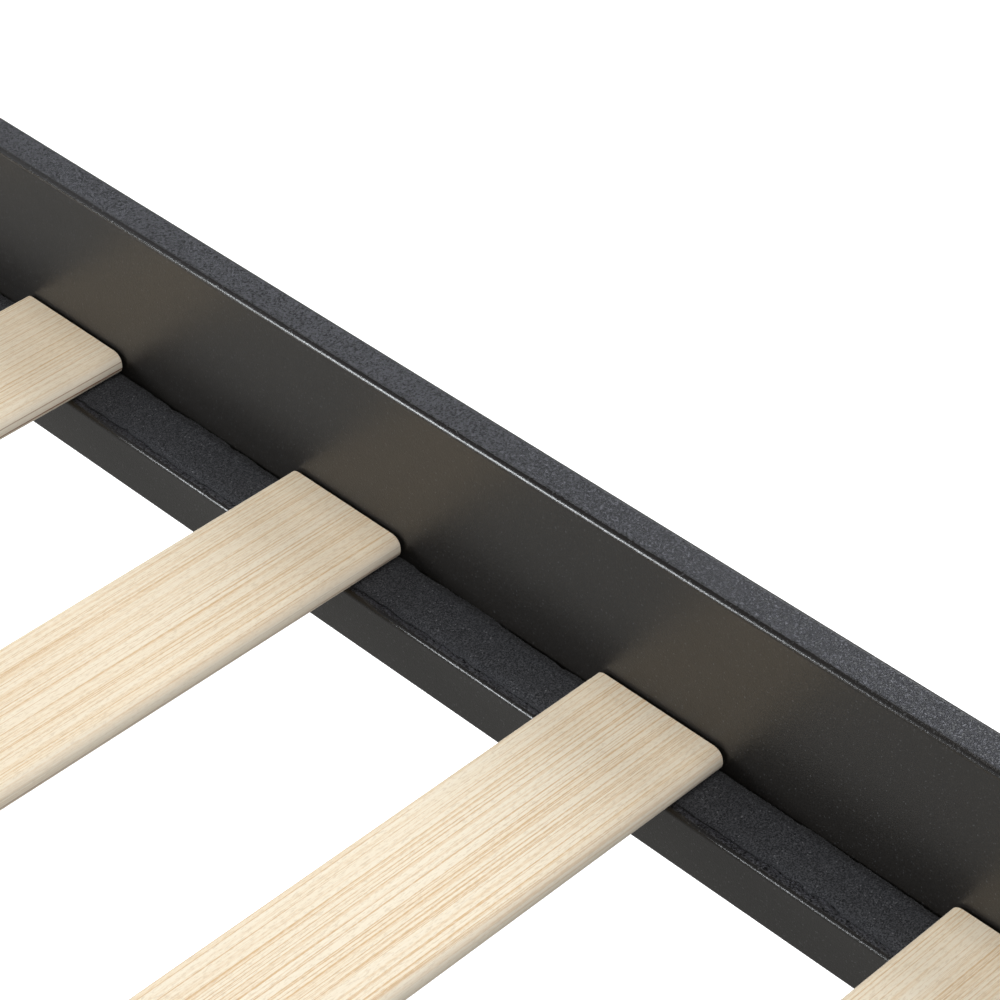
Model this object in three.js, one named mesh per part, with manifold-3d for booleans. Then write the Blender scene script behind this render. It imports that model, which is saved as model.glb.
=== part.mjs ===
// Low metal bed frame for a 1524 x 2032 mm mattress. Millimetres, +Z up, +Y towards the head of the bed.
// The origin is on the floor under the middle of the frame.
// Two welded end frames (two posts and a cross rail each) are joined by two bolted side rails. A ledge tube
// welded inside each side rail and a centre beam on two legs carry twelve loose wooden slats on felt tape.
import * as THREE from "three";
import { mergeVertices } from "three/addons/utils/BufferGeometryUtils.js";
import Module from "manifold-3d";

const wasm = await Module();
wasm.setup();

// ---- Driving dimensions ----
const mattressWidth = 1524;
const mattressLength = 2032;
const sideRoom = 3; // between the mattress and each side rail
const endRoom = 4; // between the mattress and each end rail
const seam = 0.3; // gap left at every face where two pieces meet

const railTop = 350;
const railHeight = 102;
const railThickness = 16;
const railWall = 1.5;
const railCorner = 2.5;

const postSize = 45;
const postWall = 1.5;
const postCorner = 3;
const postRise = 2; // the post stands this much above the rails
const postProud = 2; // and this much outside their outer faces

const ledgeSize = 25.4;
const ledgeWall = 1.2;
const ledgeCorner = 2;

const tapeWidth = 20;
const tapeThickness = 1.5;
const tapeInset = 1; // from the rail's face to the tape's edge
const tapeEndGap = 4; // from each end of the ledge or beam to the end of its tape

const slatCount = 12;
const slatEndRoom = 110; // from each end rail to the edge of the nearest slat
const slatWidth = 60;
const slatThickness = 10;
const slatEdgeRadius = 4.4;
const slatEndGap = 1.2; // from each end of a slat to the side rail

const plateThickness = 3; // end plates welded to the side rails
const plateCorner = 2;

const beamWidth = 25.4;
const beamHeight = 38;
const beamWall = 1.5;
const beamCorner = 2;

const saddleLength = 45;
const saddleSheet = 2.5;
const saddleEar = 16;
const saddleDrop = 2; // from the beam's top down to the saddle's
const saddleClearance = 0.6; // between the beam and each cheek
const saddleBoltEdge = 18; // from the saddle's open end to its bolt

const glideHeight = 8; // plastic foot under each post
const glidePlug = 18; // how far it reaches up into the post
const capHeight = 3.5;
const capPlug = 10; // how far the cap reaches down into the post
const plugClearance = 0.4;

const legCount = 2;
const legSpacing = 760;
const legRadius = 15;
const legWall = 1.5;
const flangeThickness = 3;
const flangeCorner = 4;
const flangeHoleRoom = 12; // from the leg's tube to the middle of a flange bolt
const flangeEdge = 12; // from the middle of a flange bolt to the flange's end

const insertFlange = 3;
const insertDepth = 18;
const levellerRadius = 20;
const levellerHeight = 10;
const levellerRim = 4; // height of the pad's upright edge
const levellerNeck = 11; // radius of the pad's top
const levellerStud = 30;
const levellerEdge = 1;

const railBolt = { radius: 4, length: 20, headRadius: 7.5, headHeight: 4.4, socket: 2.9, tip: 0.6 }; // M8
const smallBolt = { radius: 3, length: 12, headRadius: 5.5, headHeight: 3.4, socket: 2.3, tip: 0.6 }; // M6
const boltRise = 22; // from the ledge's top up to the lower rail bolt
const boltDrop = 18; // from the rail's top down to the upper rail bolt
const holeClearance = 0.5; // around a shank in a plain hole
const threadClearance = 0.3; // around a shank in the hole it screws into

const overcut = 1; // how far a cutter passes the faces it opens
const lap = 0.5; // how deep two shapes run into each other where they make one solid
const cornerSteps = 2; // an arc of a section gets two segments for each step
const boltSides = 12;
const legSides = 24;

// ---- Sizes that follow ----
const innerX = mattressWidth / 2 + sideRoom; // inner face of a side rail
const innerY = mattressLength / 2 + endRoom; // inner face of an end rail
const railBottom = railTop - railHeight;
const railMiddle = railBottom + railHeight / 2;
const ledgeTop = railBottom + ledgeSize;
const tapeBottom = ledgeTop + seam;
const slatBottom = tapeBottom + tapeThickness + seam;
const slatPitch = (2 * (innerY - slatEndRoom) - slatWidth) / (slatCount - 1);
const slatLength = 2 * (innerX - slatEndGap);

const postX = innerX + railThickness + postProud - postSize / 2;
const postY = innerY + railThickness + postProud - postSize / 2;
const postInnerX = postX - postSize / 2;
const postInnerY = postY - postSize / 2;
const postBottom = glideHeight + seam;
const postTop = railTop + postRise;

const plateY = postInnerY - seam - plateThickness / 2;
const plateWidth = ledgeSize + seam + railThickness;
const plateX = innerX + railThickness - plateWidth / 2;
const sideRailLength = 2 * (plateY - plateThickness / 2 - seam);
const endRailLength = 2 * (postInnerX - seam);
const boltX = (innerX + postInnerX) / 2;
const boltHeights = [ledgeTop + boltRise, railTop - boltDrop];

const beamBottom = ledgeTop - beamHeight;
const beamMiddle = beamBottom + beamHeight / 2;
const beamLength = 2 * (innerY - seam - saddleSheet - seam);
const cheekX = beamWidth / 2 + saddleClearance + saddleSheet / 2;
const saddleBoltY = innerY - seam - saddleLength + saddleBoltEdge;

const legTop = beamBottom - seam;
const insertBottom = levellerHeight + seam;
const legBottom = insertBottom + insertFlange + seam;
const flangeHole = legRadius + flangeHoleRoom;
const flangeLength = 2 * (flangeHole + flangeEdge);

// ---- Materials ----
function material(red, green, blue, roughness, metalness) {
  const color = new THREE.Color().setRGB(red, green, blue, THREE.SRGBColorSpace);
  return new THREE.MeshStandardMaterial({ color, roughness, metalness });
}
const painted = material(0.25, 0.24, 0.23, 0.42, 0.5);
const wood = material(0.91, 0.86, 0.77, 0.62, 0);
const felt = material(0.2, 0.2, 0.21, 0.95, 0);
const plastic = material(0.1, 0.1, 0.1, 0.6, 0);
const steel = material(0.16, 0.16, 0.17, 0.35, 0.9);

// ---- Shapes and solids ----
function roundedRect(width, height, radius, path = new THREE.Shape()) {
  const x = width / 2;
  const y = height / 2;
  const r = Math.min(radius, 0.49 * width, 0.49 * height);
  path.moveTo(x, -y + r);
  path.lineTo(x, y - r);
  path.absarc(x - r, y - r, r, 0, Math.PI / 2);
  path.lineTo(-x + r, y);
  path.absarc(-x + r, y - r, r, Math.PI / 2, Math.PI);
  path.lineTo(-x, -y + r);
  path.absarc(-x + r, -y + r, r, Math.PI, 1.5 * Math.PI);
  path.lineTo(x - r, -y);
  path.absarc(x - r, -y + r, r, 1.5 * Math.PI, 2 * Math.PI);
  return path;
}

function tubeShape(width, height, wall, radius) {
  const shape = roundedRect(width, height, radius);
  const innerRadius = Math.max(radius - wall, 0.4);
  shape.holes.push(roundedRect(width - 2 * wall, height - 2 * wall, innerRadius, new THREE.Path()));
  return shape;
}

// The extrusion is centred on the origin and runs along the named axis. A section's second side points up,
// and its first side along X, or along Y in an extrusion along X.
function extrude(shape, length, axis) {
  const settings = { depth: length, bevelEnabled: false, curveSegments: cornerSteps };
  const geometry = new THREE.ExtrudeGeometry(shape, settings);
  geometry.translate(0, 0, -length / 2);
  if (axis === "y") geometry.rotateX(Math.PI / 2);
  if (axis === "x") {
    const turn = new THREE.Matrix4().makeBasis(
      new THREE.Vector3(0, 1, 0), new THREE.Vector3(0, 0, 1), new THREE.Vector3(1, 0, 0));
    geometry.applyMatrix4(turn);
  }
  return geometry;
}

function rod(radius, length, axis, sides) {
  const geometry = new THREE.CylinderGeometry(radius, radius, length, sides);
  if (axis === "x") geometry.rotateZ(-Math.PI / 2);
  if (axis === "z") geometry.rotateX(Math.PI / 2);
  return geometry;
}

// A cutter for a bolt hole. Its flats stand at the named radius, so a shank keeps its clearance all round.
function drill(radius, depth, axis) {
  return rod(radius / Math.cos(Math.PI / boltSides), depth + 2 * overcut, axis, boltSides);
}

function solid(geometry) {
  const bare = geometry.clone();
  bare.deleteAttribute("normal");
  bare.deleteAttribute("uv");
  const merged = mergeVertices(bare, 1e-3);
  return new wasm.Manifold(new wasm.Mesh({
    numProp: 3,
    vertProperties: new Float32Array(merged.attributes.position.array),
    triVerts: new Uint32Array(merged.index.array),
  }));
}

function geometryOf(manifold) {
  const mesh = manifold.getMesh();
  const geometry = new THREE.BufferGeometry();
  geometry.setAttribute("position", new THREE.BufferAttribute(mesh.vertProperties, 3));
  geometry.setIndex(new THREE.BufferAttribute(mesh.triVerts, 1));
  geometry.computeVertexNormals();
  return geometry;
}

const box = (x, y, z) => new THREE.BoxGeometry(x, y, z);
const at = (geometry, x, y, z) => geometry.translate(x, y, z);
const cut = (base, tools) => geometryOf(tools.reduce((s, tool) => s.subtract(solid(tool)), solid(base)));
const join = ([base, ...rest]) => geometryOf(rest.reduce((s, piece) => s.add(solid(piece)), solid(base)));

// A closed turned shape about +Z from points of [radius, height].
function turned(points, sides) {
  return new THREE.LatheGeometry(points.map(([r, z]) => new THREE.Vector2(r, z)), sides).rotateX(Math.PI / 2);
}

const frame = new THREE.Group();
function add(name, geometry, material, x = 0, y = 0, z = 0) {
  const mesh = new THREE.Mesh(geometry, material);
  mesh.name = name;
  mesh.position.set(x, y, z);
  frame.add(mesh);
}

const sides = [["left", -1], ["right", 1]];
const ends = [["foot", -1], ["head", 1]];

// ---- Side rails, their ledges and felt tape ----
for (const [side, sx] of sides) {
  const rail = tubeShape(railThickness, railHeight, railWall, railCorner);
  add(`side_rail_${side}`, extrude(rail, sideRailLength, "y"), painted,
    sx * (innerX + railThickness / 2), 0, railMiddle);

  const ledge = tubeShape(ledgeSize, ledgeSize, ledgeWall, ledgeCorner);
  add(`slat_ledge_${side}`, extrude(ledge, sideRailLength, "y"), painted,
    sx * (innerX - seam - ledgeSize / 2), 0, railBottom + ledgeSize / 2);

  const tape = roundedRect(tapeWidth, tapeThickness, tapeThickness / 3);
  add(`ledge_tape_${side}`, extrude(tape, sideRailLength - 2 * tapeEndGap, "y"), felt,
    sx * (innerX - tapeInset - tapeWidth / 2), 0, tapeBottom + tapeThickness / 2);
}

// ---- End rails, welded between their posts ----
for (const [end, sy] of ends) {
  const rail = tubeShape(railThickness, railHeight, railWall, railCorner);
  add(`${end}_rail`, extrude(rail, endRailLength, "x"), painted,
    0, sy * (innerY + railThickness / 2), railMiddle);
}

// ---- Corner posts with cap, floor glide, rail end plate and bolts ----
function postGeometry(sx, sy) {
  const tube = extrude(tubeShape(postSize, postSize, postWall, postCorner), postTop - postBottom, "z");
  const wallY = -sy * (postSize - postWall) / 2;
  const middle = (postTop + postBottom) / 2;
  return cut(tube, boltHeights.map((z) => at(
    drill(railBolt.radius + threadClearance, postWall, "y"), sx * (boltX - postX), wallY, z - middle)));
}

function plateGeometry(sx) {
  const plate = extrude(roundedRect(plateWidth, railHeight, plateCorner), plateThickness, "y");
  return cut(plate, boltHeights.map((z) => at(
    drill(railBolt.radius + holeClearance, plateThickness, "y"), sx * (boltX - plateX), 0, z - railMiddle)));
}

// A lid as wide as the post, with a plug that runs down (-1) or up (1) into it.
function plugged(height, depth, direction) {
  const inner = postSize - 2 * (postWall + plugClearance);
  const lid = extrude(roundedRect(postSize, postSize, postCorner), height, "z");
  const plug = extrude(roundedRect(inner, inner, postCorner - postWall / 2), depth, "z");
  return join([lid, at(plug, 0, 0, direction * ((depth + height) / 2 - lap))]);
}

// A button head bolt whose shank points down, with the head's seat at the origin.
function boltGeometry({ radius, length, headRadius, headHeight, socket, tip }) {
  const shank = [[0, -length], [radius - tip, -length], [radius, -length + tip], [radius, 0]];
  const head = [[headRadius, 0], [headRadius, 0.3 * headHeight], [0.8 * headRadius, 0.8 * headHeight],
    [0.5 * headRadius, headHeight], [0, headHeight]];
  const body = turned([...shank, ...head], boltSides);
  return cut(body, [at(rod(socket, headHeight, "z", 6), 0, 0, headHeight)]);
}

for (const [end, sy] of ends) {
  for (const [side, sx] of sides) {
    const corner = `${end}_${side}`;
    const x = sx * postX;
    const y = sy * postY;
    add(`post_${corner}`, postGeometry(sx, sy), painted, x, y, (postBottom + postTop) / 2);
    add(`post_cap_${corner}`, plugged(capHeight, capPlug, -1), plastic, x, y, postTop + seam + capHeight / 2);
    add(`floor_glide_${corner}`, plugged(glideHeight, glidePlug, 1), plastic, x, y, glideHeight / 2);
    add(`rail_end_plate_${corner}`, plateGeometry(sx), painted, sx * plateX, sy * plateY, railMiddle);

    const headSeat = sy * (plateY - plateThickness / 2 - seam);
    boltHeights.forEach((z, i) => {
      const bolt = boltGeometry(railBolt).rotateX(sy * Math.PI / 2);
      add(`rail_bolt_${corner}_${i + 1}`, bolt, steel, sx * boltX, headSeat, z);
    });
  }
}

// ---- Centre beam, its tape, saddles and bolts ----
const legPlaces = Array.from({ length: legCount }, (_, i) => (i - (legCount - 1) / 2) * legSpacing);
const flangeHoles = [-flangeHole, flangeHole];
const screwHole = smallBolt.radius + threadClearance;
const underHoles = legPlaces.flatMap((y) => flangeHoles.map((dy) => at(
  drill(screwHole, beamWall, "z"), 0, y + dy, (beamWall - beamHeight) / 2)));
const sideHoles = ends.map(([, sy]) => at(
  drill(screwHole, beamWall, "x"), (beamWidth - beamWall) / 2, sy * saddleBoltY, 0));
const beam = extrude(tubeShape(beamWidth, beamHeight, beamWall, beamCorner), beamLength, "y");
add("centre_beam", cut(beam, [...underHoles, ...sideHoles]), painted, 0, 0, beamMiddle);

const beamTape = roundedRect(tapeWidth, tapeThickness, tapeThickness / 3);
add("beam_tape", extrude(beamTape, beamLength - 2 * tapeEndGap, "y"), felt,
  0, 0, tapeBottom + tapeThickness / 2);

const saddleBase = beamBottom - seam - saddleSheet;
const saddleTop = ledgeTop - saddleDrop;
for (const [end, sy] of ends) {
  const tall = saddleTop - saddleBase;
  const wide = 2 * cheekX + saddleSheet;
  const middle = (saddleTop + saddleBase) / 2;
  const backY = sy * (innerY - seam - saddleSheet / 2);
  const middleY = sy * (innerY - seam - saddleLength / 2);
  const back = at(box(wide + 2 * saddleEar, saddleSheet, tall), 0, backY, middle);
  const base = at(box(wide, saddleLength, saddleSheet), 0, middleY, saddleBase + saddleSheet / 2);
  const cheeks = [-1, 1].map((sx) => at(box(saddleSheet, saddleLength, tall), sx * cheekX, middleY, middle));
  const hole = at(drill(smallBolt.radius + holeClearance, saddleSheet, "x"),
    cheekX, sy * saddleBoltY, beamMiddle);
  add(`beam_saddle_${end}`, cut(join([back, base, ...cheeks]), [hole]), painted);

  const bolt = boltGeometry(smallBolt).rotateY(Math.PI / 2);
  add(`beam_bolt_${end}`, bolt, steel, cheekX + saddleSheet / 2 + seam, sy * saddleBoltY, beamMiddle);
}

// ---- Centre legs, screwed to the beam, each with a threaded insert and a levelling foot ----
function legGeometry() {
  const length = legTop - flangeThickness - legBottom;
  const tube = at(rod(legRadius, length + lap, "z", legSides), 0, 0, legBottom + (length + lap) / 2);
  const bore = at(rod(legRadius - legWall, length, "z", legSides), 0, 0, legBottom + length / 2 - lap);
  const flangeMiddle = legTop - flangeThickness / 2;
  const flange = at(extrude(roundedRect(beamWidth, flangeLength, flangeCorner), flangeThickness, "z"),
    0, 0, flangeMiddle);
  const holes = flangeHoles.map((y) => at(
    drill(smallBolt.radius + holeClearance, flangeThickness, "z"), 0, y, flangeMiddle));
  return cut(join([flange, tube]), [bore, ...holes]);
}

function insertGeometry() {
  const hole = railBolt.radius + threadClearance;
  const plug = legRadius - legWall - threadClearance;
  const top = insertFlange + insertDepth;
  return turned([[hole, 0], [legRadius, 0], [legRadius, insertFlange], [plug, insertFlange],
    [plug, top], [hole, top], [hole, 0]], legSides);
}

function levellerGeometry() {
  const stud = railBolt.radius;
  const top = levellerHeight + levellerStud;
  return turned([[0, 0], [levellerRadius - levellerEdge, 0], [levellerRadius, levellerEdge],
    [levellerRadius, levellerRim], [levellerNeck, levellerHeight], [stud, levellerHeight],
    [stud, top], [0, top]], legSides);
}

legPlaces.forEach((y, i) => {
  const place = ends[i] ? ends[i][0] : `extra_${i + 1}`;
  add(`centre_leg_${place}`, legGeometry(), painted, 0, y, 0);
  add(`leg_insert_${place}`, insertGeometry(), plastic, 0, y, insertBottom);
  add(`leveller_${place}`, levellerGeometry(), plastic, 0, y, 0);
  flangeHoles.forEach((dy, k) => {
    const bolt = boltGeometry(smallBolt).rotateX(Math.PI);
    add(`leg_bolt_${place}_${k + 1}`, bolt, steel, 0, y + dy, legTop - flangeThickness - seam);
  });
});

// ---- Slats, loose on the tape; number 1 is nearest the head ----
for (let i = 0; i < slatCount; i += 1) {
  const name = `slat_${String(i + 1).padStart(2, "0")}`;
  add(name, extrude(roundedRect(slatWidth, slatThickness, slatEdgeRadius), slatLength, "x"), wood,
    0, ((slatCount - 1) / 2 - i) * slatPitch, slatBottom + slatThickness / 2);
}

export default frame;
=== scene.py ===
# A low metal bed frame: powder-coated steel rails and posts, felt-covered ledges, loose laminated slats.
# Metres, +Z up, +Y towards the head of the bed.
import math
import random

import bmesh
import bpy
from mathutils import Matrix, Vector, noise


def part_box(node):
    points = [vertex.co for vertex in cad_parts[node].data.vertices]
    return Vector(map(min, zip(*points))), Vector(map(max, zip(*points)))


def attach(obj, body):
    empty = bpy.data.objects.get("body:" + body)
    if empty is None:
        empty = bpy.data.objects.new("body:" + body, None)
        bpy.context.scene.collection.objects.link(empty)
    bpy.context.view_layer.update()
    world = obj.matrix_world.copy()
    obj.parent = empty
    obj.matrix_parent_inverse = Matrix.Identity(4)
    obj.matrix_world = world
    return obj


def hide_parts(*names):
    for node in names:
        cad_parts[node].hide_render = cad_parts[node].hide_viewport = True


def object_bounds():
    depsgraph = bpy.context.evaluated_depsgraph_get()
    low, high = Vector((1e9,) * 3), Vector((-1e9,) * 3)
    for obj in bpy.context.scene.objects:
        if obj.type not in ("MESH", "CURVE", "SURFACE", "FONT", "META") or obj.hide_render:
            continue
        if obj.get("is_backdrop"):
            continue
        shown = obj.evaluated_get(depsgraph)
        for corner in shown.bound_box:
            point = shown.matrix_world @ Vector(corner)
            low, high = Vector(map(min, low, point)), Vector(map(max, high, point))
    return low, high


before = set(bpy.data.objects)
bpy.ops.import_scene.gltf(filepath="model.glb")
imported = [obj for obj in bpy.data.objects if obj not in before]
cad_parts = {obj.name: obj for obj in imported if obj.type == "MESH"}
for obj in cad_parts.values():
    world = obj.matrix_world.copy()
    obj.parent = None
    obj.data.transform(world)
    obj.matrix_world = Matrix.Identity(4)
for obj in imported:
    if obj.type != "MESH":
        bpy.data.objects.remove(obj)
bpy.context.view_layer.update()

# ---- View and room ----
# A close view from above the middle of the bed onto the right side rail, with a long lens.
# The room is a pale seamless floor under broad studio lights. Reflected and bounced light takes the ground
# from the world colour, so that the white floor does not wash out the dark coat.
scene = bpy.context.scene
rail_low, rail_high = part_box("side_rail_right")
slat_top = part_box("slat_06")[1].z
lens = 121.4
aim_past_rail = 0.0395
aim_along_rail = 0.0397
target = Vector((rail_low.x + aim_past_rail, aim_along_rail, slat_top))
towards_camera = Vector((-0.5290, -0.5601, 0.6375)).normalized()
camera_distance = 1.2465
camera_roll = math.radians(-1.66)

camera = bpy.data.objects.new("camera", bpy.data.cameras.new("camera"))
scene.collection.objects.link(camera)
camera.data.lens = lens
camera.data.sensor_width = 36
camera.data.clip_start = 0.02
camera.data.clip_end = 60
camera.location = target + towards_camera * camera_distance
level_turn = (-towards_camera).to_track_quat("-Z", "Y")
camera.rotation_euler = (level_turn.to_matrix() @ Matrix.Rotation(camera_roll, 3, "Z")).to_euler()
scene.camera = camera
scene.view_settings.view_transform = "Standard"


def new_material(name):
    """A new material, its nodes, its links and its Principled shader."""
    material = bpy.data.materials.new(name)
    material.use_nodes = True
    nodes = material.node_tree.nodes
    return material, nodes, material.node_tree.links, nodes["Principled BSDF"]


floor_size = 60
floor_mesh = bpy.data.meshes.new("floor")
bm = bmesh.new()
bmesh.ops.create_grid(bm, x_segments=1, y_segments=1, size=floor_size / 2)
bm.to_mesh(floor_mesh)
bm.free()
floor = bpy.data.objects.new("floor", floor_mesh)
scene.collection.objects.link(floor)
floor_material, nodes, links, shader = new_material("pale_floor")
shader.inputs["Base Color"].default_value = (0.9, 0.9, 0.9, 1)
shader.inputs["Roughness"].default_value = 0.8
shader.inputs["Emission Color"].default_value = (1, 1, 1, 1)
shader.inputs["Emission Strength"].default_value = 0.7
floor_mesh.materials.append(floor_material)
floor.visible_diffuse = False
floor.visible_glossy = False
floor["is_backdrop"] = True

# The walls are brighter than the ceiling and the ground, so that rounded edges show a dark line
# beside a bright one.
world = bpy.data.worlds.new("studio")
world.use_nodes = True
world_tree = world.node_tree
rise = world_tree.nodes.new("ShaderNodeSeparateXYZ")
world_tree.links.new(world_tree.nodes.new("ShaderNodeTexCoord").outputs["Generated"], rise.inputs[0])
height_share = world_tree.nodes.new("ShaderNodeMapRange")
height_share.inputs["From Min"].default_value = -1
world_tree.links.new(rise.outputs["Z"], height_share.inputs["Value"])
sky = world_tree.nodes.new("ShaderNodeValToRGB")
sky.color_ramp.elements[0].position = 0.46
sky.color_ramp.elements[0].color = (0.45, 0.445, 0.43, 1)
sky.color_ramp.elements[1].position = 0.92
sky.color_ramp.elements[1].color = (0.12, 0.125, 0.14, 1)
walls = sky.color_ramp.elements.new(0.55)
walls.color = (0.62, 0.64, 0.68, 1)
world_tree.links.new(height_share.outputs["Result"], sky.inputs["Fac"])
background = world_tree.nodes["Background"]
world_tree.links.new(sky.outputs["Color"], background.inputs["Color"])
background.inputs["Strength"].default_value = 1
scene.world = world


def area_light(name, place, aim, size, power, colour):
    light = bpy.data.objects.new(name, bpy.data.lights.new(name, "AREA"))
    light.data.shape = "RECTANGLE"
    light.data.size, light.data.size_y = size
    light.data.energy = power
    light.data.color = colour
    light.location = place
    light.rotation_euler = (Vector(aim) - Vector(place)).to_track_quat("-Z", "Y").to_euler()
    scene.collection.objects.link(light)


area_light("key_light", (0.3, -1.3, 3.4), (0.4, 0, 0.3), (2.4, 2.4), 77, (1, 0.985, 0.965))
area_light("rail_top_light", (2.9, 0.6, 2.6), (0.78, 0, 0.35), (1.9, 1.9), 54, (0.93, 0.96, 1))
area_light("edge_light", (-2.5, 2.3, 0.95), (0.78, 0, 0.35), (2.2, 1.0), 125, (0.92, 0.96, 1))


# ---- Powder coat ----
# Every steel tube and plate of the frame is baked with one dark coat: satin, with a fine grain of fused
# powder, a little thinner and shinier where it flowed off the edges.
def node_group(name, inputs, outputs):
    """A shader node group. inputs holds (name, socket type, default), outputs (name, socket type)."""
    group = bpy.data.node_groups.new(name, "ShaderNodeTree")
    for title, kind, value in inputs:
        group.interface.new_socket(title, in_out="INPUT", socket_type=kind).default_value = value
    for title, kind in outputs:
        group.interface.new_socket(title, in_out="OUTPUT", socket_type=kind)
    return group, group.nodes.new("NodeGroupInput"), group.nodes.new("NodeGroupOutput")


def noise_node(tree, vector, scale, detail=4, roughness=0.5):
    made = tree.nodes.new("ShaderNodeTexNoise")
    made.inputs["Scale"].default_value = scale
    made.inputs["Detail"].default_value = detail
    made.inputs["Roughness"].default_value = roughness
    tree.links.new(vector, made.inputs["Vector"])
    return made.outputs["Fac"]


def ranged(tree, value, low, high, to_low, to_high):
    made = tree.nodes.new("ShaderNodeMapRange")
    tree.links.new(value, made.inputs["Value"])
    for title, number in (("From Min", low), ("From Max", high), ("To Min", to_low), ("To Max", to_high)):
        made.inputs[title].default_value = number
    return made.outputs["Result"]


def math_node(tree, operation, first, second):
    made = tree.nodes.new("ShaderNodeMath")
    made.operation = operation
    for socket, value in zip(made.inputs, (first, second)):
        if isinstance(value, (int, float)):
            socket.default_value = value
        else:
            tree.links.new(value, socket)
    return made.outputs[0]


def colour_mix(tree, share, first, second):
    made = tree.nodes.new("ShaderNodeMix")
    made.data_type = "RGBA"
    for title, value in (("Factor_Float", share), ("A_Color", first), ("B_Color", second)):
        socket = next(s for s in made.inputs if s.identifier == title)
        if isinstance(value, (int, float, tuple)):
            socket.default_value = value
        else:
            tree.links.new(value, socket)
    return next(s for s in made.outputs if s.identifier == "Result_Color")


def bumped(tree, height, strength, distance):
    made = tree.nodes.new("ShaderNodeBump")
    made.inputs["Strength"].default_value = strength
    made.inputs["Distance"].default_value = distance
    tree.links.new(height, made.inputs["Height"])
    return made.outputs["Normal"]


# Fused powder: grains under a millimetre, a slow orange peel, and specks, which the coat draws lighter as
# painted glints.
powder, group_in, group_out = node_group(
    "fused_powder",
    [("Place", "NodeSocketVector", (0, 0, 0)), ("Grain Size", "NodeSocketFloat", 0.0006)],
    [("Grain", "NodeSocketFloat"), ("Peel", "NodeSocketFloat"), ("Speck", "NodeSocketFloat")])
scaled = powder.nodes.new("ShaderNodeVectorMath")
scaled.operation = "DIVIDE"
powder.links.new(group_in.outputs["Place"], scaled.inputs[0])
powder.links.new(group_in.outputs["Grain Size"], scaled.inputs[1])
grain = noise_node(powder, scaled.outputs[0], 1.0, detail=3, roughness=0.7)
peel = noise_node(powder, scaled.outputs[0], 0.12, detail=2)
glint_speck = noise_node(powder, scaled.outputs[0], 0.8, detail=1)
powder.links.new(grain, group_out.inputs["Grain"])
powder.links.new(peel, group_out.inputs["Peel"])
powder.links.new(ranged(powder, glint_speck, 0.66, 0.74, 0, 1), group_out.inputs["Speck"])


def placed_group(tree, group, **values):
    made = tree.nodes.new("ShaderNodeGroup")
    made.node_tree = group
    for title, value in values.items():
        socket = made.inputs[title.replace("_", " ")]
        if isinstance(value, (int, float, tuple)):
            socket.default_value = value
        else:
            tree.links.new(value, socket)
    return made.outputs


def object_place(tree):
    return tree.nodes.new("ShaderNodeTexCoord").outputs["Object"]


powder_grain = 0.0008
powder_depth = 0.00042
peel_share = 0.07
side_grain_share = 0.04
corner_gloss = 0.14

coat, nodes, links, shader = new_material("dark_powder_coat")
tree = coat.node_tree
grains = placed_group(tree, powder, Place=object_place(tree), Grain_Size=powder_grain)
base = colour_mix(tree, grains["Peel"], (0.0105, 0.0092, 0.0078, 1), (0.0135, 0.012, 0.0105, 1))
grain_share = ranged(tree, grains["Grain"], 0.42, 0.60, 0, 1)

# Upward faces get a coarser powder bump, and a lighter blue-grey grain is painted into their colour: painted
# sheen of the light from above.
facing = nodes.new("ShaderNodeSeparateXYZ")
links.new(nodes.new("ShaderNodeNewGeometry").outputs["Normal"], facing.inputs[0])
upward = ranged(tree, facing.outputs["Z"], 0.95, 0.995, 0, 1)
# Painted sheen: the grain on upward faces is drawn lighter and bluer than on the sides.
painted_top_sheen = colour_mix(tree, grain_share, (0.001, 0.001, 0.0015, 1), (0.078, 0.078, 0.091, 1))
base = colour_mix(tree, upward, base, painted_top_sheen)
# Painted glints: the specks are mixed into the coat's colour as a lighter grey.
links.new(colour_mix(tree, grains["Speck"], base, (0.05, 0.05, 0.05, 1)), shader.inputs["Base Color"])

# Faces square to an axis are flat. The rest are rounded edges, where the coat flowed out smooth.
roughness = ranged(tree, grains["Grain"], 0.3, 0.7, 0.28, 0.4)
flatness = nodes.new("ShaderNodeVectorMath")
flatness.operation = "ABSOLUTE"
links.new(nodes.new("ShaderNodeNewGeometry").outputs["Normal"], flatness.inputs[0])
sides = nodes.new("ShaderNodeSeparateXYZ")
links.new(flatness.outputs[0], sides.inputs[0])
squareness = math_node(tree, "MAXIMUM", sides.outputs["X"], sides.outputs["Y"])
squareness = math_node(tree, "MAXIMUM", squareness, sides.outputs["Z"])
rounded = ranged(tree, squareness, 0.99, 0.9, 0, 1)
smoothing = math_node(tree, "MULTIPLY", rounded, corner_gloss)
links.new(math_node(tree, "SUBTRACT", roughness, smoothing), shader.inputs["Roughness"])
coarseness = ranged(tree, upward, 0, 1, side_grain_share, 1)
height = math_node(tree, "MULTIPLY", grain_share, coarseness)
height = math_node(tree, "ADD", height, math_node(tree, "MULTIPLY", grains["Peel"], peel_share))
links.new(bumped(tree, height, 1.0, powder_depth), shader.inputs["Normal"])
shader.inputs["Specular IOR Level"].default_value = 0.55


def finished(name, bm, material, body, slot, *nodes_replaced, weighted=True):
    """Makes a piece of a bmesh, at the origin, and says what it rides on and stands for."""
    mesh = bpy.data.meshes.new(name)
    for face in bm.faces:
        face.smooth = True
    bm.to_mesh(mesh)
    bm.free()
    mesh.materials.append(material)
    piece = bpy.data.objects.new(name, mesh)
    scene.collection.objects.link(piece)
    if weighted:
        modifier = piece.modifiers.new("flat_faces_stay_flat", "WEIGHTED_NORMAL")
        modifier.weight = 100
    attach(piece, body)
    if nodes_replaced:
        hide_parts(*nodes_replaced)
    return piece


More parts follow.
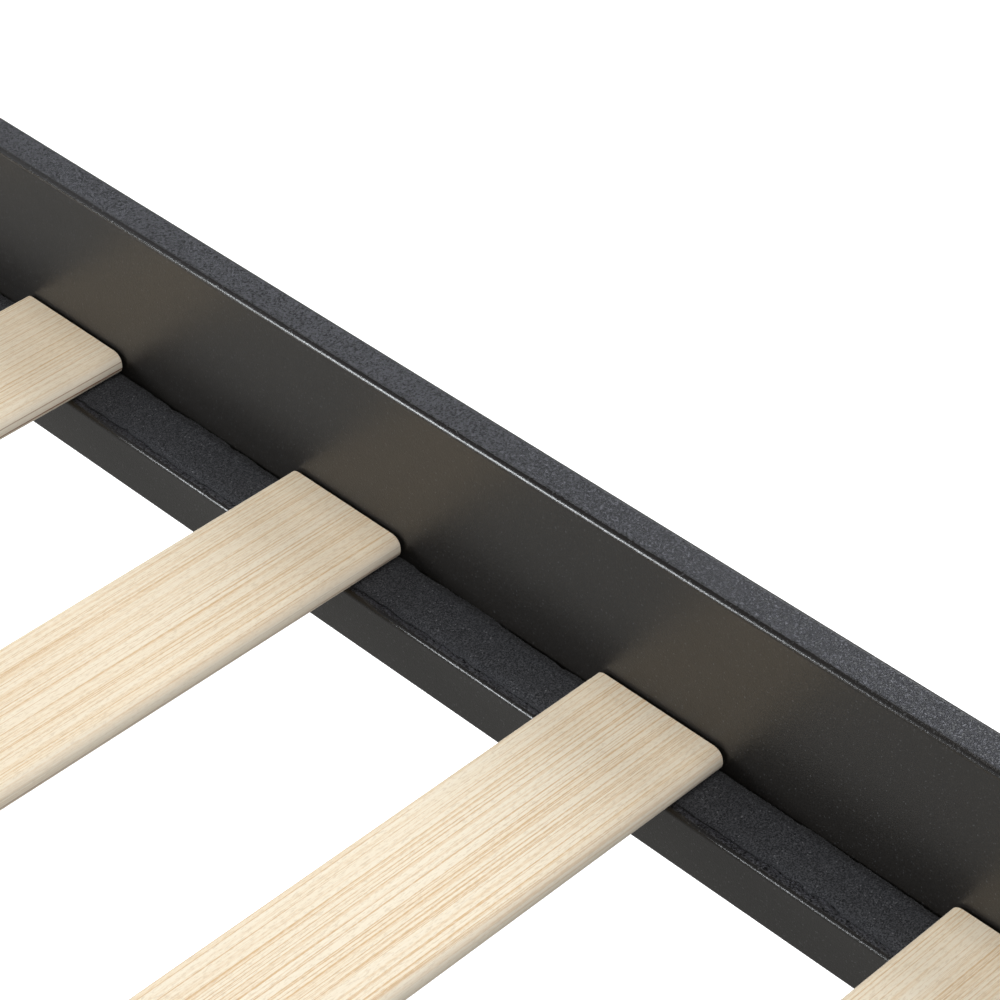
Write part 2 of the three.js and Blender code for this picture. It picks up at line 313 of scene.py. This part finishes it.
def add_block(bm, low, high):
    """A box between two corners, added to a bmesh. Returns its vertices."""
    size = Vector(high) - Vector(low)
    middle = (Vector(high) + Vector(low)) / 2
    matrix = Matrix.Translation(middle) @ Matrix.Diagonal((*size, 1))
    return bmesh.ops.create_cube(bm, size=1, matrix=matrix)["verts"]


def edges_along(bm, axis, verts=None):
    chosen = set(verts) if verts else None
    found = []
    for edge in bm.edges:
        if chosen and not (edge.verts[0] in chosen and edge.verts[1] in chosen):
            continue
        way = (edge.verts[1].co - edge.verts[0].co).normalized()
        if abs(way[axis]) > 0.99:
            found.append(edge)
    return found


def round_edges(bm, edges, radius, segments):
    bmesh.ops.bevel(
        bm, geom=edges, offset=radius, segments=segments, profile=0.5, affect="EDGES", material=-1)


# ---- Side rails ----
# Each is a tall flat steel tube with small drawn corners, a bed's length, welded to a plate at each end.
rail_corner = 0.0025
for side in ("left", "right"):
    low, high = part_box(f"side_rail_{side}")
    bm = bmesh.new()
    add_block(bm, low, high)
    round_edges(bm, edges_along(bm, 1), rail_corner, 6)
    finished(f"side_rail_tube_{side}", bm, coat, "frame", "frame_coat", f"side_rail_{side}")

# ---- Slat ledges ----
# A square tube runs along the foot of each side rail, inside, stitch-welded to it from below.
ledge_corner = 0.002
weld_pitch = 0.24
weld_length = 0.03
weld_radius = 0.0016
weld_ripple = 0.0018
weld_end_room = 0.1
weld_lift = 0.0021


def add_weld(bm, start, way, length, radius):
    """A stitch of weld: overlapping flat drops laid in a row from start, along way."""
    count = max(2, round(length / weld_ripple))
    for i in range(count):
        place = Vector(start) + Vector(way) * (length * i / (count - 1))
        swell = radius * (1 + 0.12 * noise.noise(place * 900))
        matrix = Matrix.Translation(place) @ Matrix.Scale(swell, 4)
        bmesh.ops.create_icosphere(bm, subdivisions=2, radius=1, matrix=matrix)


for side in ("left", "right"):
    low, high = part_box(f"slat_ledge_{side}")
    bm = bmesh.new()
    add_block(bm, low, high)
    round_edges(bm, edges_along(bm, 1), ledge_corner, 5)
    finished(f"slat_ledge_tube_{side}", bm, coat, "frame", "frame_coat", f"slat_ledge_{side}")

    joint_x = high.x if side == "right" else low.x
    bm = bmesh.new()
    stitches = int((high.y - low.y - weld_end_room) / weld_pitch)
    for i in range(stitches):
        y = (i - (stitches - 1) / 2) * weld_pitch - weld_length / 2
        add_weld(bm, (joint_x, y, low.z + weld_lift), (0, 1, 0), weld_length, weld_radius)
    finished(f"ledge_weld_{side}", bm, coat, "frame", "frame_coat", weighted=False)

# ---- Felt tape ----
# Black needled felt, cut by hand from a wide roll and stuck along each ledge and along the beam.
# Its cut edges wander a little and shed fibres.
felt, nodes, links, shader = new_material("black_felt")
tree = felt.node_tree
place = object_place(tree)
matting = noise_node(tree, place, 1700, detail=3, roughness=0.8)
clumps = noise_node(tree, place, 260, detail=3)
lint = ranged(tree, noise_node(tree, place, 1100, detail=1), 0.70, 0.78, 0, 0.7)
matted = ranged(tree, matting, 0.42, 0.62, 0, 1)
dark = colour_mix(tree, matted, (0.010, 0.0105, 0.012, 1), (0.075, 0.076, 0.082, 1))
dark = colour_mix(tree, ranged(tree, clumps, 0.35, 0.65, 0, 0.35), dark, (0.032, 0.033, 0.036, 1))
links.new(colour_mix(tree, lint, dark, (0.2, 0.2, 0.21, 1)), shader.inputs["Base Color"])
links.new(bumped(tree, math_node(tree, "ADD", matting, clumps), 0.9, 0.0005), shader.inputs["Normal"])
shader.inputs["Roughness"].default_value = 0.95
shader.inputs["Sheen Weight"].default_value = 0.04
shader.inputs["Specular IOR Level"].default_value = 0.15
shader.inputs["Sheen Roughness"].default_value = 0.5

tape_step = 0.0015
tape_wander = 0.0011
tape_lap = 0.001  # on a ledge, the edge away from the rail reaches this much further
tape_waves = 22
nick_level = 0.2
nick_depth = 1.8
pile_waves = 320
pile_depth = 0.0002
edge_fall = 0.0004
fibre_gap = 0.009
fibre_radius = 0.00006


def add_fibre(bm, start, way, length, rng):
    """A loose thread: a thin three-sided strand that curls away from start."""
    rings = 5
    bend = Vector((rng.uniform(-1, 1), rng.uniform(-1, 1), rng.uniform(0, 0.5))) * 0.5
    last = None
    for i in range(rings):
        share = i / (rings - 1)
        centre = start + way * (length * share) + bend * (length * share * share)
        ring = [bm.verts.new(centre + Vector((math.cos(a), 0.3, math.sin(a))) * fibre_radius)
                for a in (0, 2.1, 4.2)]
        if last:
            for a in range(3):
                bm.faces.new((last[a], last[(a + 1) % 3], ring[(a + 1) % 3], ring[a]))
        else:
            bm.faces.new(ring[::-1])
        last = ring
    bm.faces.new(last)


def felt_strip(node, seed):
    """The tape at a CAD node: cut edges that wander, with small nicks, a napped top and loose fibres."""
    low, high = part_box(node)
    rng = random.Random(seed)
    length = high.y - low.y
    bm = bmesh.new()
    add_block(bm, low, high)
    cuts = int(length / tape_step)
    bmesh.ops.subdivide_edges(bm, edges=edges_along(bm, 1), cuts=cuts, use_grid_fill=True)
    bmesh.ops.subdivide_edges(bm, edges=edges_along(bm, 0), cuts=5, use_grid_fill=True)
    middle = (low.x + high.x) / 2
    for vert in bm.verts:
        share = (vert.co.x - middle) / (high.x - middle)
        edge_side = 1 if share > 0 else -1
        along = Vector((vert.co.y * tape_waves, edge_side * 7.3 + seed, 0))
        wander = noise.noise(along) + 0.6 * noise.noise(along * 4.3) + 0.3 * noise.noise(along * 17)
        nick = max(0, noise.noise(along * 7.7) - nick_level)
        outward = tape_lap if edge_side * middle < 0 else 0
        inward = tape_wander * (0.9 * wander + nick_depth * nick - 0.3)
        vert.co.x -= edge_side * abs(share) ** 3 * (inward - outward)
        if vert.co.z > (low.z + high.z) / 2:
            pile = noise.noise(Vector((vert.co.x * pile_waves, vert.co.y * pile_waves, seed)))
            vert.co.z -= pile_depth * (0.5 + 0.5 * pile) + edge_fall * abs(share) ** 8
    for i in range(int(length / fibre_gap)):
        y = low.y + 0.01 + rng.random() * (length - 0.02)
        edge_side = rng.choice((-1, 1))
        x = middle + edge_side * (high.x - middle - tape_wander * 0.8)
        start = Vector((x, y, high.z - rng.uniform(0.0004, 0.001)))
        way = Vector((edge_side * rng.uniform(0.1, 0.8), rng.uniform(-1, 1), rng.uniform(-0.1, 0.1)))
        add_fibre(bm, start, way.normalized(), rng.uniform(0.001, 0.0032), rng)
    piece = finished(f"{node}_strip", bm, felt, "frame", "felt_tape", node, weighted=False)


felt_beds = {
    "ledge_tape_left": "slat_ledge_left", "ledge_tape_right": "slat_ledge_right", "beam_tape": "centre_beam"}
for seed, (node, bed) in enumerate(felt_beds.items()):
    felt_strip(node, seed)

# ---- Slats ----
# Twelve loose boards of pale laminated veneer, sawn to length and planed to round edges. They lie on the
# felt, and each lifts straight out.
slat_low, slat_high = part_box("slat_06")
slat_edge = 0.0044
slat_end_break = 0.0003

wood, nodes, links, shader = new_material("laminated_veneer")
tree = wood.node_tree
place = object_place(tree)
split = nodes.new("ShaderNodeSeparateXYZ")
links.new(place, split.inputs[0])


def stretched(x, y, z):
    """The place on the board, with the grain drawn out along it by these numbers of waves a metre."""
    made = nodes.new("ShaderNodeMapping")
    made.inputs["Scale"].default_value = (x, y, z)
    links.new(place, made.inputs["Vector"])
    return made.outputs["Vector"]


board_attribute = nodes.new("ShaderNodeAttribute")
board_attribute.attribute_name = "board"
board = board_attribute.outputs["Fac"]
bands = noise_node(tree, stretched(1.3, 55, 55), 1, detail=2)
streaks = noise_node(tree, stretched(2.6, 620, 620), 1, detail=3, roughness=0.6)
hairlines = noise_node(tree, stretched(4, 1300, 1300), 1, detail=2, roughness=0.6)
fuzz = noise_node(tree, stretched(360, 1600, 1600), 1, detail=2, roughness=0.7)
banded = ranged(tree, bands, 0.36, 0.66, 0, 1)
wood_colour = colour_mix(tree, banded, (0.84, 0.75, 0.59, 1), (0.81, 0.69, 0.51, 1))

# Each layer is a pattern, the two levels it rises between, how much of it shows, and its colour.
for pattern, start, end, strength, colour in (
        (streaks, 0.51, 0.56, 0.4, (0.68, 0.45, 0.22, 1)),
        (hairlines, 0.57, 0.60, 0.7, (0.60, 0.36, 0.15, 1)),
        (hairlines, 0.44, 0.38, 0.45, (0.85, 0.78, 0.64, 1)),
        (fuzz, 0.52, 0.62, 0.3, (0.86, 0.79, 0.65, 1)),
        (fuzz, 0.46, 0.38, 0.3, (0.52, 0.38, 0.24, 1)),
        (board, 0, 1, 0.15, (0.70, 0.56, 0.38, 1))):
    wood_colour = colour_mix(tree, ranged(tree, pattern, start, end, 0, strength), wood_colour, colour)

# The ends are drawn darker and browner: painted shade from the side rail beside them, with a little browning
# where they were sawn and handled.
reach = math_node(tree, "ABSOLUTE", split.outputs["X"], 0)
end_shade_and_browning = ranged(tree, reach, slat_high.x - 0.05, slat_high.x, 0, 0.1)
wood_colour = colour_mix(tree, end_shade_and_browning, wood_colour, (0.66, 0.49, 0.30, 1))

# The long sides are drawn paler than the faces: painted light on the sides.
leaning = nodes.new("ShaderNodeSeparateXYZ")
links.new(nodes.new("ShaderNodeNewGeometry").outputs["Normal"], leaning.inputs[0])
lit_side_share = ranged(tree, math_node(tree, "ABSOLUTE", leaning.outputs["Y"], 0), 0.3, 0.9, 0, 0.45)
wood_colour = colour_mix(tree, lit_side_share, wood_colour, (0.86, 0.80, 0.69, 1))


glue_wander = 0.0008


def glue_line(colour, height_share, width, strength, seed):
    """A brown line between two veneers on the board's edge, which fades in and out along it."""
    waver = noise_node(tree, stretched(9, 3, seed), 1, detail=2)
    middle = slat_low.z + height_share * (slat_high.z - slat_low.z)
    level = math_node(tree, "ADD", middle - glue_wander / 2, math_node(tree, "MULTIPLY", waver, glue_wander))
    off = math_node(tree, "ABSOLUTE", math_node(tree, "SUBTRACT", split.outputs["Z"], level), 0)
    line = ranged(tree, off, width * 0.4, width, 1, 0)
    fading = ranged(tree, noise_node(tree, stretched(6, 3, seed + 5), 1, detail=2), 0.4, 0.56, 0.15, 1)
    share = math_node(tree, "MULTIPLY", line, math_node(tree, "MULTIPLY", fading, strength))
    return colour_mix(tree, share, colour, (0.27, 0.12, 0.055, 1))


line_strength = ranged(tree, board, 0.1, 0.9, 0.05, 1)
wood_colour = glue_line(wood_colour, 0.34, 0.0005, line_strength, 1)
wood_colour = glue_line(wood_colour, 0.66, 0.00028, ranged(tree, board, 0.3, 1, 0, 0.7), 2)
links.new(wood_colour, shader.inputs["Base Color"])
links.new(ranged(tree, streaks, 0.3, 0.8, 0.5, 0.66), shader.inputs["Roughness"])
grain_height = math_node(tree, "ADD", hairlines, math_node(tree, "MULTIPLY", fuzz, 0.6))
links.new(bumped(tree, grain_height, 0.5, 0.00016), shader.inputs["Normal"])
shader.inputs["Specular IOR Level"].default_value = 0.35

# How strongly each board shows its glue lines, from 0 to 1. The rest are drawn at random.
board_character = {5: 0.95, 6: 0.5, 7: 0.05, 8: 0.8}
board_rng = random.Random(11)
for number in range(1, 13):
    node = f"slat_{number:02d}"
    low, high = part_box(node)
    character = board_character.get(number, board_rng.random())
    bm = bmesh.new()
    character_layer = bm.verts.layers.float.new("board")
    add_block(bm, low, high)
    round_edges(bm, edges_along(bm, 0), slat_edge, 7)
    end_loops = [e for e in bm.edges if len({round(v.co.x, 5) for v in e.verts}) == 1]
    round_edges(bm, end_loops, slat_end_break, 1)
    for vert in bm.verts:
        vert[character_layer] = character
    finished(f"{node}_veneer", bm, wood, f"{node}_board", "slat_wood", node)


# ---- End rails ----
# The same flat tube as the side rails, welded between the posts at the head and the foot.
def make_tube(bm, axis, wall):
    """Turns a bar into a tube: each end is inset by the wall, and the two openings are bridged."""
    ends = [f for f in bm.faces if abs(f.normal[axis]) > 0.99]
    for face in ends:
        bmesh.ops.inset_region(bm, faces=[face], thickness=wall, use_even_offset=True)
    bmesh.ops.delete(bm, geom=ends, context="FACES_ONLY")
    bmesh.ops.bridge_loops(bm, edges=[e for e in bm.edges if e.is_boundary])
    bmesh.ops.recalc_face_normals(bm, faces=bm.faces)


rail_wall = 0.0015
end_weld_inset = 0.0012
end_weld_gap = 0.004
for end in ("foot", "head"):
    low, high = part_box(f"{end}_rail")
    bm = bmesh.new()
    add_block(bm, low, high)
    round_edges(bm, edges_along(bm, 0), rail_corner, 6)
    make_tube(bm, 0, rail_wall)
    finished(f"{end}_rail_tube", bm, coat, "frame", "frame_coat", f"{end}_rail")

    inner_y = low.y if end == "head" else high.y
    bm = bmesh.new()
    for x in (low.x + end_weld_inset, high.x - end_weld_inset):
        start = (x, inner_y, low.z + end_weld_gap)
        add_weld(bm, start, (0, 0, 1), high.z - low.z - 2 * end_weld_gap, weld_radius)
    finished(f"{end}_rail_weld", bm, coat, "frame", "frame_coat", weighted=False)

# ---- Corner posts ----
# Square tubes, each with a moulded cap pressed into its top and a glide pressed into its foot.
post_corner = 0.003
post_wall = 0.0015
seam = 0.0003

plastic, nodes, links, shader = new_material("moulded_black_plastic")
tree = plastic.node_tree
pebble = placed_group(tree, powder, Place=object_place(tree), Grain_Size=0.0009)
links.new(colour_mix(tree, pebble["Peel"], (0.009, 0.009, 0.01, 1), (0.016, 0.016, 0.017, 1)),
          shader.inputs["Base Color"])
links.new(ranged(tree, pebble["Grain"], 0.3, 0.7, 0.5, 0.66), shader.inputs["Roughness"])
links.new(bumped(tree, pebble["Grain"], 0.5, 0.0001), shader.inputs["Normal"])

cap_edge = 0.0014
plug_gap = 0.0006


def add_plug(bm, low, high, inset):
    """The part of a cap or glide that is pressed into the post."""
    verts = add_block(bm, (low.x + inset, low.y + inset, low.z), (high.x - inset, high.y - inset, high.z))
    round_edges(bm, edges_along(bm, 2, verts), post_corner - post_wall, 3)


for end in ("foot", "head"):
    for side in ("left", "right"):
        corner = f"{end}_{side}"
        low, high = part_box(f"post_{corner}")
        bm = bmesh.new()
        add_block(bm, low, high)
        round_edges(bm, edges_along(bm, 2), post_corner, 6)
        make_tube(bm, 2, post_wall)
        finished(f"post_tube_{corner}", bm, coat, "frame", "frame_coat", f"post_{corner}")

        inset = post_wall + plug_gap
        lid_bottom = high.z + seam
        foot_top = low.z - seam
        low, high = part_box(f"post_cap_{corner}")
        bm = bmesh.new()
        verts = add_block(bm, (low.x, low.y, lid_bottom), high)
        round_edges(bm, edges_along(bm, 2, verts), post_corner, 6)
        top_rim = [e for e in bm.edges if all(v.co.z > high.z - 1e-6 for v in e.verts)]
        round_edges(bm, top_rim, cap_edge, 4)
        add_plug(bm, low, Vector((high.x, high.y, lid_bottom)), inset)
        finished(f"post_cap_lid_{corner}", bm, plastic, "frame", "black_plastic", f"post_cap_{corner}")

        low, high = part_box(f"floor_glide_{corner}")
        bm = bmesh.new()
        verts = add_block(bm, low, (high.x, high.y, foot_top))
        round_edges(bm, edges_along(bm, 2, verts), post_corner, 6)
        sole_rim = [e for e in bm.edges if all(v.co.z < low.z + 1e-6 for v in e.verts)]
        round_edges(bm, sole_rim, cap_edge, 4)
        add_plug(bm, Vector((low.x, low.y, foot_top)), high, inset)
        finished(f"floor_glide_foot_{corner}", bm, plastic, "frame", "black_plastic", f"floor_glide_{corner}")

# ---- End plates and rail bolts ----
# A plate across each end of a side rail is held to the post by two M8 button head bolts.
bolt_metal, nodes, links, shader = new_material("black_zinc_steel")
tree = bolt_metal.node_tree
place = object_place(tree)
film = noise_node(tree, place, 240, detail=4)
zinc = colour_mix(tree, film, (0.028, 0.028, 0.031, 1), (0.06, 0.058, 0.062, 1))
links.new(zinc, shader.inputs["Base Color"])
rubbing = noise_node(tree, place, 1400, detail=3)
links.new(ranged(tree, rubbing, 0.3, 0.7, 0.24, 0.42), shader.inputs["Roughness"])
shader.inputs["Metallic"].default_value = 0.85

bolt_sides = 48
thread_depth = 0.0003


def turned(bm, profile, sides, close=True):
    """Spins points of (radius, height) once round Z. Points on the axis are merged into one."""
    verts = [bm.verts.new((radius, 0, height)) for radius, height in profile]
    edges = [bm.edges.new(pair) for pair in zip(verts, verts[1:])]
    if not close:
        edges.append(bm.edges.new((verts[-1], verts[0])))
    bmesh.ops.spin(bm, geom=verts + edges, cent=(0, 0, 0), axis=(0, 0, 1), angle=math.tau, steps=sides,
                   use_merge=True)
    bmesh.ops.remove_doubles(bm, verts=bm.verts, dist=1e-6)
    bmesh.ops.recalc_face_normals(bm, faces=bm.faces)


def thread_points(radius, start, pitch, turns):
    """A thread's profile from start upwards: a groove and a crest for each turn."""
    points = []
    for i in range(turns):
        groove = start + i * pitch
        points += [(radius - 2 * thread_depth, groove), (radius, groove + pitch / 2)]
    return points


def bolt_bmesh(radius, length, head_radius, head_height, socket_flats, pitch):
    """A button head bolt, head up, its seat at the origin. The socket's ring is pressed to a hexagon."""
    bm = bmesh.new()
    socket = socket_flats / 2
    depth = 0.55 * head_height
    thread = thread_points(radius, -length + 0.0012, pitch, int((length - 0.004) / pitch))
    head = [(head_radius * math.cos(a), head_height * (0.25 + 0.75 * math.sin(a)))
            for a in (math.radians(step) for step in (0, 12, 25, 38, 50, 60))]
    rim_height = head[-1][1] + 0.0003
    profile = [(0, -length), (radius - 0.0008, -length), *thread, (radius, -0.0015), (radius, 0),
               (head_radius * 0.97, 0), *head, (socket * 1.2, rim_height), (socket, rim_height - 0.0002),
               (socket, rim_height - depth), (0, rim_height - depth - 0.0006)]
    turned(bm, profile, bolt_sides)
    for vert in bm.verts:
        flat = Vector((vert.co.x, vert.co.y))
        if vert.co.z > 0 and abs(flat.length - socket) < 1e-5:
            angle = math.atan2(flat.y, flat.x) % (math.pi / 3) - math.pi / 6
            flat *= 1 / math.cos(angle)
            vert.co.x, vert.co.y = flat
    return bm


def placed_bolt(node, axis, direction, sizes):
    """A bolt at a CAD bolt's place, its head towards direction along axis."""
    low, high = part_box(node)
    seat = (low + high) / 2
    length = sizes["length"]
    seat[axis] = low[axis] + length if direction > 0 else high[axis] - length
    bm = bolt_bmesh(**sizes)
    way = Vector((0, 0, 0))
    way[axis] = direction
    turn = way.to_track_quat("Z", "Y").to_matrix().to_4x4()
    bmesh.ops.transform(bm, matrix=Matrix.Translation(seat) @ turn, verts=bm.verts)
    finished(f"{node}_button_head", bm, bolt_metal, "frame", "bolt_steel", node)


m8 = {"radius": 0.004, "length": 0.020, "head_radius": 0.0075, "head_height": 0.0044, "socket_flats": 0.005,
      "pitch": 0.00125}
m6 = {"radius": 0.003, "length": 0.012, "head_radius": 0.0055, "head_height": 0.0034, "socket_flats": 0.004,
      "pitch": 0.001}
plate_corner = 0.002
plate_edge = 0.0004
plate_weld_back = 0.0008
plate_weld_inset = 0.003  # the weld stops this far from the ledge and from the rail's top
for end in ("foot", "head"):
    inward = 1 if end == "foot" else -1
    for side in ("left", "right"):
        corner = f"{end}_{side}"
        low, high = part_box(f"rail_end_plate_{corner}")
        bm = bmesh.new()
        add_block(bm, low, high)
        round_edges(bm, edges_along(bm, 1), plate_corner, 4)
        faces_rim = [e for e in bm.edges if len({round(v.co.y, 5) for v in e.verts}) == 1]
        round_edges(bm, faces_rim, plate_edge, 2)
        finished(
            f"rail_end_plate_steel_{corner}", bm, coat, "frame", "frame_coat", f"rail_end_plate_{corner}")

        rail_low, rail_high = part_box(f"side_rail_{side}")
        inner_x = rail_low.x if side == "right" else rail_high.x
        weld_y = rail_low.y + plate_weld_back if end == "foot" else rail_high.y - plate_weld_back
        ledge_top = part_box(f"slat_ledge_{side}")[1].z
        bm = bmesh.new()
        weld_start = (inner_x, weld_y, ledge_top + plate_weld_inset)
        weld_rise = rail_high.z - ledge_top - 2 * plate_weld_inset
        add_weld(bm, weld_start, (0, 0, 1), weld_rise, weld_radius)
        finished(f"plate_weld_{corner}", bm, coat, "frame", "frame_coat", weighted=False)
        for number in (1, 2):
            placed_bolt(f"rail_bolt_{corner}_{number}", 1, inward, m8)

# ---- Centre beam and saddles ----
# A tube along the middle lies in a pressed saddle welded to each end rail, and one screw holds it there.
low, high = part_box("centre_beam")
bm = bmesh.new()
add_block(bm, low, high)
round_edges(bm, edges_along(bm, 1), ledge_corner, 5)
make_tube(bm, 1, rail_wall)
finished("centre_beam_tube", bm, coat, "frame", "frame_coat", "centre_beam")

saddle_sheet = 0.0025
saddle_ear = 0.016
saddle_bend = 0.0033
sheet_break = 0.0003


def arc(centre, radius, start, turn, steps=6):
    """Points on a quarter circle or other arc, in degrees."""
    angles = [math.radians(start + turn * i / steps) for i in range(steps + 1)]
    return [(centre[0] + radius * math.cos(a), centre[1] + radius * math.sin(a)) for a in angles]


def add_channel(bm, low, high, sheet, bend):
    """A U of bent sheet, open upwards, that runs along Y between two corners."""
    left = (low.x + bend, low.z + bend)
    right = (high.x - bend, low.z + bend)
    outline = [(low.x, high.z), *arc(left, bend, 180, 90), *arc(right, bend, 270, 90), (high.x, high.z)]
    outline += [(high.x - sheet, high.z), *arc(right, bend - sheet, 360, -90)]
    outline += [*arc(left, bend - sheet, 270, -90), (low.x + sheet, high.z)]
    face = bm.faces.new([bm.verts.new((x, low.y, z)) for x, z in outline])
    made = bmesh.ops.extrude_face_region(bm, geom=[face])["geom"]
    far = [g for g in made if isinstance(g, bmesh.types.BMVert)]
    bmesh.ops.translate(bm, vec=(0, high.y - low.y, 0), verts=far)
    bmesh.ops.recalc_face_normals(bm, faces=bm.faces)
    rims = [e for e in bm.edges if e.verts[0].co.y == e.verts[1].co.y]
    round_edges(bm, rims, sheet_break, 1)


for end in ("foot", "head"):
    low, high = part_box(f"beam_saddle_{end}")
    plate_low = high.y - saddle_sheet if end == "head" else low.y
    channel_low = low.y if end == "head" else low.y + saddle_sheet
    channel_high = plate_low if end == "head" else high.y
    bm = bmesh.new()
    add_channel(bm, Vector((low.x + saddle_ear, channel_low, low.z)),
                Vector((high.x - saddle_ear, channel_high, high.z)), saddle_sheet, saddle_bend)
    verts = add_block(bm, (low.x, plate_low, low.z), (high.x, plate_low + saddle_sheet, high.z))
    round_edges(bm, edges_along(bm, 1, verts), saddle_bend, 4)
    finished(f"beam_saddle_sheet_{end}", bm, coat, "frame", "frame_coat", f"beam_saddle_{end}")
    placed_bolt(f"beam_bolt_{end}", 0, 1, m6)

# ---- Centre legs ----
# Each is a round tube welded under a flange that two M6 screws hold to the beam. A threaded plastic insert
# closes it below, and a levelling foot screws into that.
leg_radius = 0.015
leg_wall = 0.0015
leg_sides = 64
flange_thickness = 0.003
flange_corner = 0.004
leg_weld_out = 0.0006
insert_bore = 0.0043
insert_lip = 0.003
pad_height = 0.010
grips = 12
grip_depth = 0.018
for end in ("foot", "head"):
    low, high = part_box(f"centre_leg_{end}")
    middle = (low + high) / 2
    flange_half = (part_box("centre_beam")[1].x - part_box("centre_beam")[0].x) / 2
    bm = bmesh.new()
    inner_radius = leg_radius - leg_wall
    tube_top = high.z - flange_thickness
    turned(bm, [(inner_radius, low.z + 0.0004), (inner_radius + 0.0005, low.z), (leg_radius - 0.0005, low.z),
                (leg_radius, low.z + 0.0005), (leg_radius, tube_top), (inner_radius, tube_top)],
           leg_sides, close=False)
    bmesh.ops.translate(bm, vec=(middle.x, middle.y, 0), verts=bm.verts)
    verts = add_block(bm, (middle.x - flange_half, low.y, tube_top), (middle.x + flange_half, high.y, high.z))
    round_edges(bm, edges_along(bm, 2, verts), flange_corner, 5)
    finished(f"centre_leg_tube_{end}", bm, coat, "frame", "frame_coat", f"centre_leg_{end}")

    bm = bmesh.new()
    drops = round(math.tau * leg_radius / weld_ripple)
    ring_radius = leg_radius + leg_weld_out
    for i in range(drops):
        angle = math.tau * i / drops
        spot = Vector((middle.x + ring_radius * math.cos(angle), middle.y + ring_radius * math.sin(angle),
                       tube_top - leg_weld_out))
        if abs(spot.x - middle.x) < flange_half - weld_radius:
            bmesh.ops.create_icosphere(bm, subdivisions=2, radius=1,
                                       matrix=Matrix.Translation(spot) @ Matrix.Scale(weld_radius, 4))
    finished(f"leg_weld_{end}", bm, coat, "frame", "frame_coat", weighted=False)

    low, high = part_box(f"leg_insert_{end}")
    plug = inner_radius - 0.0003
    bm = bmesh.new()
    lip_top = low.z + insert_lip
    turned(bm, [(insert_bore, low.z), (leg_radius - 0.0006, low.z), (leg_radius, low.z + 0.0006),
                (leg_radius, lip_top - 0.0004), (leg_radius - 0.0004, lip_top), (plug, lip_top),
                (plug, high.z - 0.001), (plug - 0.001, high.z), (insert_bore, high.z)],
           leg_sides, close=False)
    bmesh.ops.translate(bm, vec=(middle.x, middle.y, 0), verts=bm.verts)
    finished(f"leg_insert_plug_{end}", bm, plastic, "frame", "black_plastic", f"leg_insert_{end}")

    # The levelling foot's rim has shallow grips, and its stud an M8 thread.
    low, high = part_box(f"leveller_{end}")
    pad_radius = (high.x - low.x) / 2
    stud = m8["radius"]
    turns = int((high.z - pad_height - 0.002) / m8["pitch"])
    thread = thread_points(stud, pad_height + 0.001, m8["pitch"], turns)
    bm = bmesh.new()
    turned(bm, [(0, 0), (pad_radius - 0.001, 0), (pad_radius - 0.0003, 0.0003), (pad_radius, 0.001),
                (pad_radius, 0.0035), (pad_radius - 0.0006, 0.0044), (0.0112, 0.0096), (0.0104, pad_height),
                (stud, pad_height), *thread, (stud - 0.0007, high.z), (0, high.z)], leg_sides + 8)
    for vert in bm.verts:
        radius = math.hypot(vert.co.x, vert.co.y)
        if radius > pad_radius - 0.0009 and vert.co.z > 0.0005:
            grip = 1 - grip_depth * max(0, math.cos(grips * math.atan2(vert.co.y, vert.co.x))) ** 2
            vert.co.x *= grip
            vert.co.y *= grip
    bmesh.ops.translate(bm, vec=(middle.x, middle.y, 0), verts=bm.verts)
    finished(f"leveller_pad_{end}", bm, plastic, f"leveller_{end}_screw", "black_plastic", f"leveller_{end}")
    for number in (1, 2):
        placed_bolt(f"leg_bolt_{end}_{number}", 2, -1, m6)

low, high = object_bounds()
